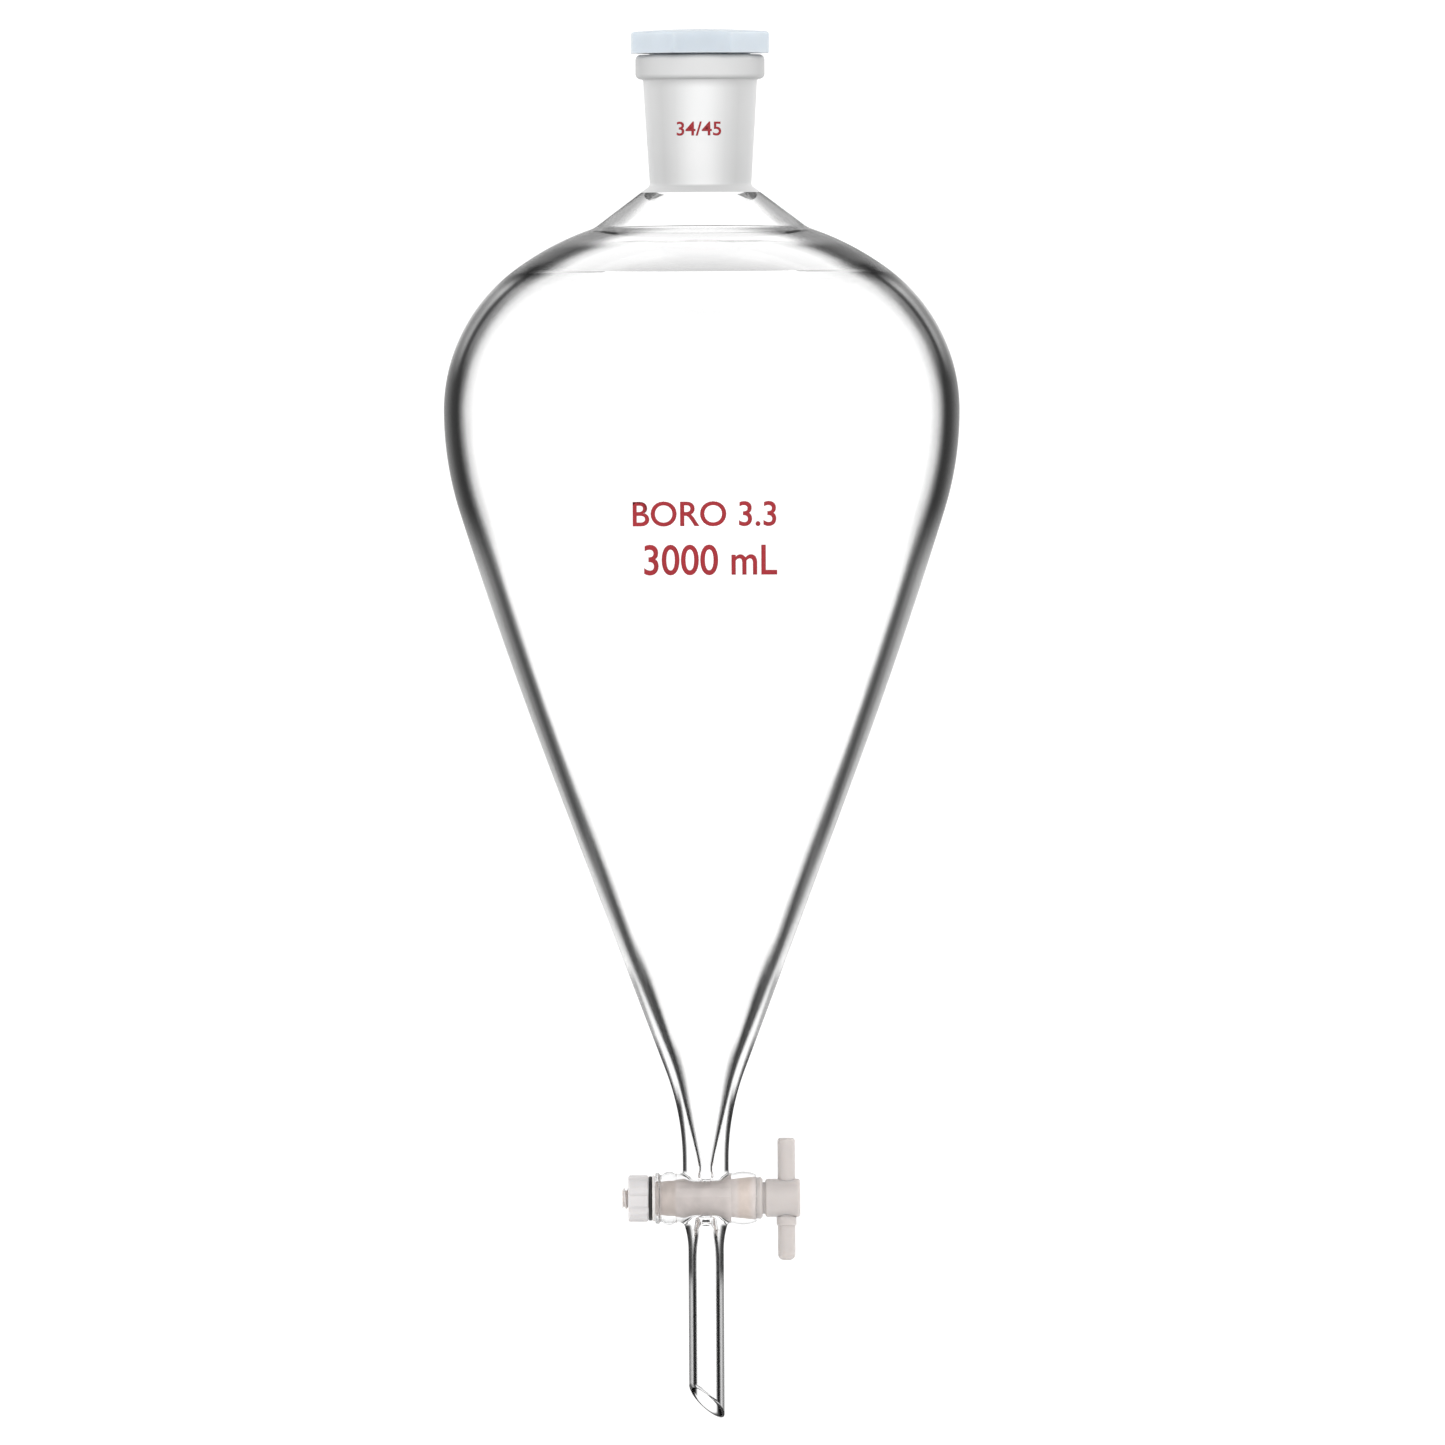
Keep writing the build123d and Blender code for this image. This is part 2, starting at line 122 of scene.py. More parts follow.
# Lights, in metres and watts: (place, target, size, power).
LIGHTS = {
    "front": ((0, -1.0, 0.35), (0, 0, 0.1), (0.9, 0.9), 3),
    "left": ((-1.2, 0.1, 0.5), (0, 0, 0.1), (0.5, 0.9), 2.5),
    "right": ((1.2, 0.1, 0.5), (0, 0, 0.1), (0.5, 0.9), 2.5),
    "top": ((0, 0.2, 1.5), (0, 0, 0), (1.2, 1.2), 6),
}
# The surround's strength, by how steeply up or down it is seen.
SURROUND_FADE = {"From Min": 0.45, "From Max": 0.9, "To Min": 1.12, "To Max": 0.55}
FLOOR_R, FLOOR_DROP = 1.0, 0.12

# Camera: metres across the frame, distance, the frame's middle, and the funnel's lean in degrees.
FRAME_WIDTH, CAMERA_DISTANCE = 0.4913, 20.0
FRAME_X, FRAME_Z = 0.0065, -0.0151
LEAN = 0.3
SENSOR_WIDTH, CLIP_END = 36.0, 60.0


class Outline:
    """Half section (radius, height) traced with tangent arcs and straight lines."""

    def __init__(self, r, z, heading):
        self.points = [(r, z)]
        self.heading = math.radians(heading)

    @property
    def end(self):
        return self.points[-1]

    def arc(self, radius, turn):
        """Turn left by turn degrees, or right where it is negative, on an arc of that radius."""
        side = math.copysign(1, turn)
        length = radius * math.radians(abs(turn))
        steps = max(2, math.ceil(abs(turn) / ARC_STEP), math.ceil(length / ARC_PITCH))
        r, z = self.end
        start = self.heading
        for step in range(1, steps + 1):
            here = start + math.radians(turn) * step / steps
            reach = side * radius
            self.points.append((r + reach * (math.sin(here) - math.sin(start)),
                                z + reach * (math.cos(start) - math.cos(here))))
        self.heading = start + math.radians(turn)
        return self

    def line_to(self, r, z, pitch=LINE_PITCH):
        """Straight on to a point, in equal steps of about pitch millimetres."""
        start = self.end
        steps = max(1, round(math.dist(start, (r, z)) / pitch))
        for step in range(1, steps + 1):
            share = step / steps
            self.points.append((start[0] + (r - start[0]) * share, start[1] + (z - start[1]) * share))
        return self

    def line(self, length):
        """Straight on along the heading."""
        r, z = self.end
        return self.line_to(r + length * math.cos(self.heading), z + length * math.sin(self.heading))


def upper_outline(inset):
    """Bulb wall from the equator up to the end of the saddle."""
    outline = Outline(BULB_R - inset, EQUATOR_Z, 90)
    for radius, turn in (SHOULDER, CROWN, SADDLE):
        outline.arc(radius - math.copysign(inset, turn), turn)
    return outline


def lower_outline(inset, cone_length, throat_r, throat_turn):
    """Bulb wall from the equator down the cone and round the throat."""
    outline = Outline(BULB_R - inset, EQUATOR_Z, -90)
    for radius, turn in (BELLY, FLANK):
        outline.arc(radius - inset, -turn)
    outline.line(cone_length)
    return outline.arc(throat_r, throat_turn)


def outside_outline():
    """Outer wall from the mouth's lip down to the arm above the barrel."""
    bead_z = MOUTH_Z - BEAD_HEIGHT
    up = upper_outline(0)
    up.line((MOUTH_Z - SOCKET_LENGTH - up.end[1]) / math.sin(up.heading))
    up.arc(NECK_FOOT_FILLET, NECK_HEADING - math.degrees(up.heading))
    up.line_to(NECK_TOP_R, bead_z - BEAD_FOOT_DROP)
    up.line_to(NECK_TOP_R + BEAD_FOOT_WIDTH, bead_z)
    up.line_to(BEAD_R - BEAD_CORNER, bead_z)
    up.heading = 0.0
    up.arc(BEAD_CORNER, 90).line_to(BEAD_R, MOUTH_Z - BEAD_CORNER)
    up.arc(BEAD_CORNER, 90).line_to(SOCKET_MOUTH_R + LIP_EDGE, MOUTH_Z)
    down = lower_outline(0, CONE_LENGTH, THROAT_R, CONE_TILT)
    down.line_to(down.end[0], COCK_Z)
    return up.points[::-1] + down.points[1:]


def inside_outline():
    """Inner wall from the mouth down to the port."""
    up = upper_outline(WALL)
    heading = up.heading
    turned_in = NECK_INNER_FILLET * (1 - math.sin(heading))
    up.line((up.end[0] - SOCKET_FOOT_R - turned_in) / -math.cos(heading))
    up.arc(NECK_INNER_FILLET, 90 - math.degrees(heading))
    up.line_to(SOCKET_FOOT_R, MOUTH_Z - SOCKET_LENGTH)
    up.line_to(SOCKET_MOUTH_R, MOUTH_Z - LIP_EDGE)
    tilt, port_tilt = math.radians(CONE_TILT), math.radians(PORT_CONE_TILT)
    belly_cos = math.cos(math.radians(BELLY[1]))
    cone_top_r = BULB_R - WALL - (BELLY[0] - WALL) * (1 - belly_cos)
    cone_top_r -= (FLANK[0] - WALL) * (belly_cos - math.cos(tilt))
    cone_foot_r = PORT_R + PORT_CONE_LENGTH * math.sin(port_tilt)
    cone_foot_r += BORE_THROAT_R * (math.cos(port_tilt) - math.cos(tilt))
    cone_length = (cone_top_r - cone_foot_r) / math.sin(tilt)
    down = lower_outline(WALL, cone_length, BORE_THROAT_R, CONE_TILT - PORT_CONE_TILT)
    down.line(PORT_CONE_LENGTH).line_to(PORT_R, COCK_Z)
    return up.points[::-1] + down.points[1:]


def radius_at(points, z):
    """Radius of an outline at each height."""
    ordered = np.array(sorted(points, key=lambda p: p[1]))
    return np.interp(z, ordered[:, 1], ordered[:, 0])


def soft_least(a, b, blend):
    """The smaller of two fields, with a rounded changeover."""
    share = np.clip(0.5 + 0.5 * (b - a) / blend, 0, 1)
    return b + (a - b) * share - blend * share * (1 - share)


def soft_most(a, b, blend):
    """The larger of two fields, with a rounded changeover."""
    return -soft_least(-a, -b, blend)


def barrel_wall(x):
    """Outer radius of the barrel along its axis: a waist by the rim, and a bead towards each end."""
    wall = np.where(x < LEFT_BEAD[0][0], BARREL_WAIST_R, BARREL_R)
    for bead in (LEFT_BEAD, RIGHT_BEAD):
        stations, radii = zip(*bead)
        arch = np.polyval(np.polyfit(stations, radii, 2), x)
        wall = np.where((x > stations[0]) & (x < stations[-1]), arch, wall)
    return wall


def stem_bore(z):
    """Radius of the drip stem's bore, narrowing to the port."""
    rise = COCK_Z - PLUG_MID_R - STEM_SEAM_Z
    narrowed = STEM_BORE_R - PORT_R
    radius = (rise ** 2 + narrowed ** 2) / (2 * narrowed)
    climb = np.clip(z - STEM_SEAM_Z, 0, rise)
    return STEM_BORE_R - (radius - np.sqrt(radius ** 2 - climb ** 2))


def stem_wall(z):
    """Outer radius of the drip stem, flaring into the barrel."""
    climb = np.clip(z - STEM_FLARE_BOTTOM_Z, 0, STEM_FLARE_TOP_Z - STEM_FLARE_BOTTOM_Z)
    return STEM_R + STEM_FLARE_R - np.sqrt(STEM_FLARE_R ** 2 - climb ** 2)


class Stopcock:
    """Field of the barrel with its two arms: negative inside the glass."""

    def __init__(self, outside, inside):
        self.outside, self.inside = outside, inside

    def outer(self, p):
        x, y, z = p
        above = z > COCK_Z
        arm = np.hypot(x, y) - np.where(above, radius_at(self.outside, z), stem_wall(z))
        arm = soft_most(arm, ARM_STOP - np.abs(z - COCK_Z), ARM_EDGE)
        off_axis = np.hypot(y, z - COCK_Z)
        tube = soft_most(off_axis - barrel_wall(x), np.abs(x) - BARREL_HALF, BARREL_EDGE)
        rim = soft_most(off_axis - RIM_R, np.abs(x - RIM_MIDDLE_X) - RIM_HALF, BARREL_EDGE)
        return soft_least(arm, soft_least(tube, rim, RIM_FOOT), FUSED)

    def bore(self, p):
        x, y, z = p
        radius = np.where(x < SMALL_END_X, SMALL_END_R, PLUG_MID_R + PLUG_TAPER * x)
        return np.hypot(y, z - COCK_Z) - radius

    def hollow(self, p):
        x, y, z = p
        port = np.hypot(x, y) - np.where(z > COCK_Z, radius_at(self.inside, z), stem_bore(z))
        return np.minimum(port, self.bore(p))

    def __call__(self, p):
        return soft_most(self.outer(p), -self.hollow(p), BORE_EDGE)


def settle(points, field, rounds=3, nudge=CELL / 20, least_slope=0.25):
    """Points moved on to the zero surface of a field, along its gradient."""
    for _ in range(rounds):
        value = field(points)
        slope = np.array([(field(points + step) - field(points - step)) / (2 * nudge)
                          for step in np.eye(3)[:, :, None] * nudge])
        points = points - slope * value / np.maximum((slope ** 2).sum(0), least_slope)
    return points


def mixed_cells(solid):
    """Which cells of a grid have corners both inside and outside."""
    corners = [solid[tuple(slice(low, count - 1 + low) for low, count in zip(shift, solid.shape))]
               for shift in np.ndindex(2, 2, 2)]
    inside = sum(corner.astype(int) for corner in corners)
    return (inside > 0) & (inside < 8)


def quads_across(axis, solid, index):
    """A quad of four neighbouring cells round each grid edge along one axis that crosses the surface."""
    near = np.take(solid, range(solid.shape[axis] - 1), axis)
    far = np.take(solid, range(1, solid.shape[axis]), axis)
    others = [a for a in range(3) if a != axis]
    at = np.argwhere(near != far)
    at = at[np.all([(at[:, a] > 0) & (at[:, a] < solid.shape[a] - 1) for a in others], 0)]
    corners = []
    for shift in ((-1, -1), (0, -1), (0, 0), (-1, 0)):
        step = np.zeros(3, int)
        step[others] = shift
        corners.append(index[tuple((at + step).T)])
    quads = np.array(corners).T
    flip = near[tuple(at.T)] == (axis == 1)
    quads[flip] = quads[flip][:, ::-1]
    return quads


def net_surface(field, low, high):
    """Points and quads over the zero surface of a field in a box: one point for each cell it crosses."""
    axes = [np.arange(a, b + CELL / 2, CELL) for a, b in zip(low, high)]
    solid = field(np.array(np.meshgrid(*axes, indexing="ij"))) < 0
    mixed = mixed_cells(solid)
    index = -np.ones(mixed.shape, int)
    index[mixed] = np.arange(mixed.sum())
    centres = np.array([axis[c] + CELL / 2 for axis, c in zip(axes, np.argwhere(mixed).T)])
    points = settle(centres, field)
    strayed = np.abs(points - centres).max(0) > CELL
    points = np.where(strayed, centres, points)
    return points.T, np.concatenate([quads_across(axis, solid, index) for axis in range(3)])


def lathe_rows(bm, points, height=lambda x, y, z: z):
    """A ring of vertices for each outline point; height places each vertex from its x, y and z."""
    rows = []
    for r, z in points:
        row = []
        for step in range(ROUND):
            angle = TAU * step / ROUND
            x, y = r * math.cos(angle), r * math.sin(angle)
            row.append(bm.verts.new((x, y, height(x, y, z))))
        rows.append(row)
    return rows


def skin(bm, rows, material):
    """Quads between neighbouring rings."""
    for above, below in zip(rows, rows[1:]):
        for step in range(ROUND):
            after = (step + 1) % ROUND
            face = bm.faces.new((above[step], below[step], below[after], above[after]))
            face.material_index = material


def ring_edges(bm, ring):
    return [bm.edges.get((ring[step], ring[step - 1])) for step in range(len(ring))]


def boundary_loops(verts):
    """Closed chains of open edges among some vertices, as lists of edges."""
    loose = dict.fromkeys(e for v in verts for e in v.link_edges if e.is_boundary)
    loops = []
    while loose:
        chain = [loose.popitem()[0]]
        while onward := next((e for v in chain[-1].verts for e in v.link_edges if e in loose), None):
            del loose[onward]
            chain.append(onward)
        loops.append(chain)
    return loops


def mean_radius(edges):
    return sum(math.hypot(e.verts[0].co.x, e.verts[0].co.y) for e in edges) / len(edges)


def join_to_net(bm, ring, loops, material):
    """Fill the narrow gap between a lathed ring and the open loop of the net that is nearest to it."""
    z, r = ring[0].co.z, math.hypot(ring[0].co.x, ring[0].co.y)
    loop = min(loops, key=lambda l: abs(mean_radius(l) - r) + abs(l[0].verts[0].co.z - z))
    made = bmesh.ops.bridge_loops(bm, edges=ring_edges(bm, ring) + loop)
    for face in made["faces"]:
        face.material_index = material


def lathed_bulb(bm, outside, inside):
    """Bulb and neck above the stopcock's net. Returns the lowest ring outside and inside."""
    stop_z = ARM_SEAM_Z + CELL
    walls = []
    for outline in (outside, inside):
        kept = [p for p in outline if p[1] > stop_z]
        walls.append(lathe_rows(bm, kept + [(float(radius_at(outline, stop_z)), stop_z)]))
    outer_rows, inner_rows = walls
    skin(bm, outer_rows, CLEAR)
    skin(bm, [inner_rows[0], outer_rows[0]], CLEAR)
    skin(bm, inner_rows[::-1], HOLLOW)
    for face in bm.faces:
        height = face.calc_center_median().z
        if height > FROST_FOOT_Z:
            face.material_index = GROUND
        elif face.material_index == CLEAR and height > FLARE_FOOT_Z:
            face.material_index = FLARE
        elif face.material_index == HOLLOW and height > FLARE_HOLLOW_FOOT_Z:
            face.material_index = FLARE_HOLLOW
    return outer_rows[-1], inner_rows[-1]


def tip_height(x, y, z):
    """Height of a stem vertex: rings tilt more and more towards the slanted tip."""
    turn = math.radians(TIP_TURN)
    fall = TIP_FALL * (x * math.cos(turn) + y * math.sin(turn))
    share = (STEM_SEAM_Z - z) / (STEM_SEAM_Z - TIP_CENTRE_Z)
    return z - fall * min(max(share, 0), 1) ** 3


def lathed_stem(bm):
    """Drip stem below the net: down its outside, round the fire-polished tip and up its bore.

    Returns the highest ring outside and inside.
    """
    seam_z = STEM_SEAM_Z - CELL
    outline = Outline(STEM_R, seam_z, -90)
    outline.line_to(STEM_R, TIP_CENTRE_Z + TIP_RAISE, STEM_PITCH)
    outline.arc((STEM_R - STEM_BORE_R) / 2, -180).line_to(STEM_BORE_R, seam_z, STEM_PITCH)
    rows = lathe_rows(bm, outline.points, tip_height)
    lowest = min(range(len(rows)), key=lambda i: outline.points[i][1])
    skin(bm, rows[:lowest + 1], CLEAR)
    skin(bm, rows[lowest:], HOLLOW)
    return rows[0], rows[-1]


def stopcock_net(bm, field):
    """Barrel and arms, as a net over their field. Returns its open loops."""
    reach_x, reach_y = BARREL_HALF + 1, LEFT_BEAD[1][1] + 1
    points, quads = net_surface(field, (-reach_x, -reach_y, STEM_SEAM_Z), (reach_x, reach_y, ARM_SEAM_Z))
    within = np.abs(field.hollow(points.T)) < np.abs(field.outer(points.T))
    bored = within & (np.abs(field.bore(points.T)) < CELL / 4)
    net = [bm.verts.new(p) for p in points]
    for quad in quads:
        face = bm.faces.new([net[i] for i in quad])
        if bored[quad].sum() > 2:
            face.material_index = BORE
        elif within[quad].sum() > 2:
            face.material_index = HOLLOW
        elif face.calc_center_median().x > END_BEAD_X:
            face.material_index = END_BEAD
    return boundary_loops(net)


def finish_mesh(name, bm):
    """Smooth shaded object from a bmesh."""
    mesh = bpy.data.meshes.new(name)
    for face in bm.faces:
        face.smooth = True
    bm.to_mesh(mesh)
    bm.free()
    thing = bpy.data.objects.new(name, mesh)
    bpy.context.scene.collection.objects.link(thing)
    return thing


def funnel_glass(outside):
    """One fused glass body: lathed bulb and stem with the barrel between them."""
    bm = bmesh.new()
    inside = inside_outline()
    bulb_outer, bulb_inner = lathed_bulb(bm, outside, inside)
    stem_outer, stem_inner = lathed_stem(bm)
    loops = stopcock_net(bm, Stopcock(outside, inside))
    rings = ((bulb_outer, CLEAR), (bulb_inner, HOLLOW), (stem_outer, CLEAR), (stem_inner, HOLLOW))
    for ring, material in rings:
        join_to_net(bm, ring, loops, material)
    bmesh.ops.recalc_face_normals(bm, faces=bm.faces)
    bmesh.ops.scale(bm, vec=(MM, MM, MM), verts=bm.verts)
    return finish_mesh("funnel_glass", bm)


class Shader:
    """A material's node tree, built one node at a time."""

    def __init__(self, name):
        self.material = bpy.data.materials.new(name)
        self.material.use_nodes = True
        self.tree = self.material.node_tree
        self.tree.nodes.clear()
        self.output = self.tree.nodes.new("ShaderNodeOutputMaterial")

    def add(self, kind, inputs=None, **settings):
        """New node; each input is a value, or the output of another node."""
        made = self.tree.nodes.new("ShaderNode" + kind)
        for key, value in settings.items():
            setattr(made, key, value)
        for key, value in (inputs or {}).items():
            socket = made.inputs[key]
            if isinstance(value, bpy.types.NodeSocket):
                self.tree.links.new(value, socket)
            else:
                socket.default_value = value
        return made

    def spots(self):
        """Where on the piece the shading point is."""
        return self.add("TexCoord").outputs["Object"]

    def noise(self, scale, detail):
        return self.add("TexNoise", {"Vector": self.spots(), "Scale": scale, "Detail": detail}).outputs["Fac"]

    def bump(self, height, strength, distance):
        made = self.add("Bump", {"Height": height, "Strength": strength, "Distance": distance})
        return made.outputs["Normal"]

    def facing(self):
        """0 where the surface faces the view and 1 where it is edge-on."""
        return self.add("LayerWeight", {"Blend": 0.5}).outputs["Facing"]

    def ramp(self, factor, stops):
        """Greys or colours along a factor, from (position, value) stops."""
        made = self.add("ValToRGB", {"Fac": factor})
        elements = made.color_ramp.elements
        while len(elements) < len(stops):
            elements.new(0.5)
        for element, (position, value) in zip(elements, sorted(stops)):
            element.position = position
            element.color = (value, value, value, 1) if isinstance(value, float) else (*value, 1)
        return made.outputs["Color"]

    def facing_ramp(self, facing, pairs):
        """Greys by how squarely the surface is seen, from (cosine, grey) pairs."""
        return self.ramp(facing, [(1 - cosine, grey) for cosine, grey in pairs])

    def height_share(self, start_z, full_z):
        """0 up to one height and 1 past another, in metres."""
        height = self.add("SeparateXYZ", {"Vector": self.spots()}).outputs["Z"]
        share = self.add("MapRange", {"Value": height, "From Min": start_z, "From Max": full_z},
                         interpolation_type="SMOOTHSTEP")
        return share.outputs["Result"]

    def mix(self, factor, a, b, blend_type="MIX"):
        """Mix of two colours. The node's colour inputs are its seventh and eighth."""
        made = self.add("Mix", {"Factor": factor, 6: a, 7: b}, data_type="RGBA", blend_type=blend_type)
        return made.outputs[2]

    def multiply(self, a, b):
        return self.mix(1.0, a, b, "MULTIPLY")

    def finish(self, bsdf):
        self.tree.links.new(bsdf.outputs["BSDF"], self.output.inputs["Surface"])
        return self.material


# Painted shade on the outer surface: greys by how squarely it is seen, darkening the glass edge-on. A zone is
# (height in metres where it sets in, height where it has taken over, (cosine, grey) pairs), and each zone
# takes over from the last.
OUTER_EDGE_SHADE = (
    (0.300, 0.250, ((0.0, 0.42), (0.3, 0.42), (0.36, 0.6), (0.42, 1.0))),
    (0.1555, 0.1515, ((0.0, 0.5), (0.08, 0.42), (0.15, 0.32), (0.22, 0.28), (0.26, 0.32), (0.30, 0.6),
                      (0.33, 0.95), (0.35, 1.0))),
    (0.1490, 0.1460, ((0.0, 0.5), (0.08, 0.4), (0.16, 0.22), (0.24, 0.13), (0.29, 0.1), (0.32, 0.2),
                      (0.36, 0.7), (0.40, 1.0))),
    (0.1425, 0.1390, ((0.0, 0.5), (0.08, 0.42), (0.14, 0.28), (0.19, 0.15), (0.23, 0.06), (0.26, 0.03),
                      (0.29, 0.06), (0.33, 0.2), (0.37, 0.6), (0.41, 1.0))),
    (0.138, 0.131, ((0.0, 0.85), (0.105, 0.75), (0.148, 0.55), (0.18, 0.57), (0.21, 0.76), (0.233, 1.0),
                    (0.257, 0.87), (0.277, 0.3), (0.296, 0.226), (0.314, 0.65), (0.33, 1.0))),
    (0.118, 0.100, ((0.0, 0.55), (0.124, 0.39), (0.176, 0.34), (0.215, 0.26), (0.248, 0.185), (0.277, 0.15),
                    (0.31, 0.155), (0.33, 0.30), (0.35, 0.65), (0.375, 0.9), (0.5, 1.0))),
    (0.060, 0.030, ((0.0, 0.75), (0.13, 0.88), (0.184, 1.0), (0.225, 1.0), (0.26, 0.8), (0.29, 0.74),
                    (0.316, 0.56), (0.34, 0.43), (0.36, 0.45), (0.39, 0.7), (0.41, 0.9), (0.44, 1.0))),
    (-0.045, -0.070, ((0.0, 0.8), (0.2, 1.0), (0.38, 1.0), (0.42, 0.8), (0.46, 0.7), (0.5, 1.0))),
    (-0.095, -0.105, ((0.0, 0.6), (0.2, 0.45), (0.28, 0.4), (0.34, 0.7), (0.4, 1.0))),
    (-0.120, -0.128, ((0.0, 0.35), (0.2, 0.15), (0.30, 0.2), (0.36, 0.5), (0.42, 1.0))),
    (-0.136, -0.146, ((0.0, 0.3), (0.2, 0.1), (0.37, 0.03), (0.45, 0.06), (0.51, 0.16), (0.57, 0.6),
                      (0.61, 1.0))),
    (-0.1672, -0.1684, ((0.0, 0.8), (0.3, 0.85), (0.5, 1.0))),
    (-0.1852, -0.1864, ((0.0, 0.3), (0.25, 0.06), (0.5, 0.05), (0.6, 0.15), (0.68, 0.7), (0.74, 1.0))),
    (-0.200, -0.210, ((0.0, 0.55), (0.3, 0.5), (0.46, 0.62), (0.6, 0.95), (0.66, 0.6), (0.72, 0.35),
                      (0.77, 0.35), (0.82, 0.8), (0.86, 1.0))),
)
# Painted shade the same way for the inner surface where it mirrors light that stays in the wall.
MIRROR_EDGE_SHADE = (
    (0.152, 0.120, ((0.58, 1.0), (0.62, 0.75), (0.66, 0.55), (0.68, 0.2), (0.70, 0.10), (0.72, 0.06),
                    (0.742, 0.04), (0.752, 0.6), (0.78, 1.0))),
    (0.060, 0.030, ((0.58, 1.0), (0.645, 0.78), (0.67, 0.6), (0.685, 0.38), (0.70, 0.1), (0.71, 0.03),
                    (0.737, 0.02), (0.745, 0.3), (0.7556, 0.9), (0.77, 1.0))),
    (-0.085, -0.108, ((0.55, 1.0), (0.645, 0.95), (0.67, 0.8), (0.69, 0.3), (0.71, 0.02), (0.765, 0.02),
                      (0.78, 0.5), (0.80, 1.0))),
    (-0.1672, -0.1684, ((0.0, 0.9), (0.5, 1.0))),
    (-0.1865, -0.1900, ((0.50, 1.0), (0.62, 0.8), (0.68, 0.45), (0.72, 0.1), (0.74, 0.02), (0.80, 0.02),
                        (0.84, 0.7), (0.87, 1.0))),
)
# Painted shade the same way for the inner surface where it is seen from the hollow.
INNER_EDGE_SHADE = (
    (0.152, 0.120, ((0.0, 0.05), (0.13, 0.06), (0.19, 0.15), (0.23, 0.35), (0.26, 0.65), (0.29, 0.92),
                    (0.34, 1.0))),
    (-0.020, -0.080, ((0.0, 0.02), (0.2, 0.05), (0.27, 0.16), (0.33, 0.59), (0.38, 0.87), (0.43, 1.0))),
    (-0.085, -0.108, ((0.0, 0.01), (0.3, 0.03), (0.38, 0.12), (0.45, 0.5), (0.52, 0.85), (0.6, 1.0))),
    (-0.120, -0.132, ((0.0, 0.06), (0.38, 0.06), (0.48, 0.14), (0.57, 0.45), (0.66, 0.85), (0.76, 1.0))),
    (-0.1672, -0.1684, ((0.0, 0.8), (0.5, 1.0))),
    (-0.1865, -0.1900, ((0.0, 0.01), (0.39, 0.02), (0.5, 0.08), (0.6, 0.4), (0.68, 0.9), (0.72, 1.0))),
)


def by_height(shader, facing, zones):
    """Painted edge shade: greys by facing that change from zone to zone down the glass."""
    edge_shade = (1, 1, 1, 1)
    for start_z, full_z, pairs in zones:
        grey = shader.facing_ramp(facing, pairs)
        edge_shade = shader.mix(shader.height_share(start_z, full_z), edge_shade, grey)
    return edge_shade


def glass_surface(shader, edge_shade, ior):
    """Polished glass with the faint waves of blowing, its colour carrying the painted edge shade."""
    waves = shader.bump(shader.noise(45.0, 1.0), 0.08, 0.001)
    glass = shader.add("BsdfGlass", {"Color": edge_shade, "Roughness": 0.0, "IOR": ior, "Normal": waves})
    return shader.finish(glass)


def clear_glass(name, ior):
    """Polished outer surface, with painted shade that darkens it edge-on."""
    shader = Shader(name)
    return glass_surface(shader, by_height(shader, shader.facing(), OUTER_EDGE_SHADE), ior)


def hollow_glass(name, ior):
    """Inner surface, with painted shade where it mirrors along the wall and where it is seen edge-on."""
    shader = Shader(name)
    facing = shader.facing()
    from_within = shader.add("NewGeometry").outputs["Backfacing"]
    across = by_height(shader, facing, INNER_EDGE_SHADE)
    along = by_height(shader, facing, MIRROR_EDGE_SHADE)
    return glass_surface(shader, shader.mix(from_within, across, along), ior)


def bore_glass():
    """Bore of the barrel, where the soft plug is pressed against the glass and shows through it, with painted
    shade in bands under the beads.
    """
    shader = Shader("pressed_ptfe")
    pale = shader.ramp(shader.noise(260.0, 3.0), [(0.35, (0.73, 0.665, 0.635)), (0.65, (0.82, 0.745, 0.715))])
    across = shader.add("SeparateXYZ", {"Vector": shader.spots()}).outputs["X"]
    half = BARREL_HALF * MM
    along = shader.add("MapRange", {"Value": across, "From Min": -half, "From Max": half})
    # Painted shade: darker bands under the two beads, and a lighter one either side of the right bead.
    plain, end_shade = (1.0, 1.0, 1.0), (0.86, 0.86, 0.86)
    left_bead_shade, right_bead_shade = (0.90, 0.87, 0.84), (0.79, 0.75, 0.71)
    bead_shade_bands = shader.ramp(along.outputs["Result"], [
        (0.04, plain), (0.09, left_bead_shade), (0.16, left_bead_shade), (0.22, plain), (0.745, plain),
        (0.755, end_shade), (0.80, end_shade), (0.84, right_bead_shade), (0.92, right_bead_shade), (0.97, end_shade)])
    tone = shader.multiply(pale, bead_shade_bands)
    bsdf = shader.add("BsdfPrincipled", {"Base Color": tone, "Roughness": 0.5, "IOR": 1.35})
    return shader.finish(bsdf)


def ground_glass():
    """Frosted neck: rough and white, with painted shade: darker in a band towards each side, and darker again
    all over the bead.
    """
    shader = Shader("ground_glass")
    white = shader.ramp(shader.noise(60.0, 2.0), [(0.3, (0.97, 0.975, 0.975)), (0.7, (1.0, 1.0, 1.0))])
    facing = shader.facing()
    # Painted shade by facing: brightest face-on, a darker band towards each side, lighter again edge-on.
    neck = shader.facing_ramp(facing, (
        (0.0, 0.70), (0.3, 0.63), (0.475, 0.57), (0.724, 0.52), (0.80, 0.55), (0.888, 0.61), (0.95, 0.70),
        (1.0, 0.80)))
    bead = shader.facing_ramp(facing, ((0.0, 0.53), (0.4, 0.47), (0.75, 0.555), (1.0, 0.64)))
    shade = shader.mix(shader.height_share(*BEAD_SHADE_Z), neck, bead)
    return shader.finish(shader.add("BsdfPrincipled", {
        "Base Color": shader.multiply(shade, white), "Roughness": 0.55, "IOR": GLASS_IOR,
        "Normal": shader.bump(shader.noise(2500.0, 2.0), 0.15, 0.0002), "Transmission Weight": 0.05}))


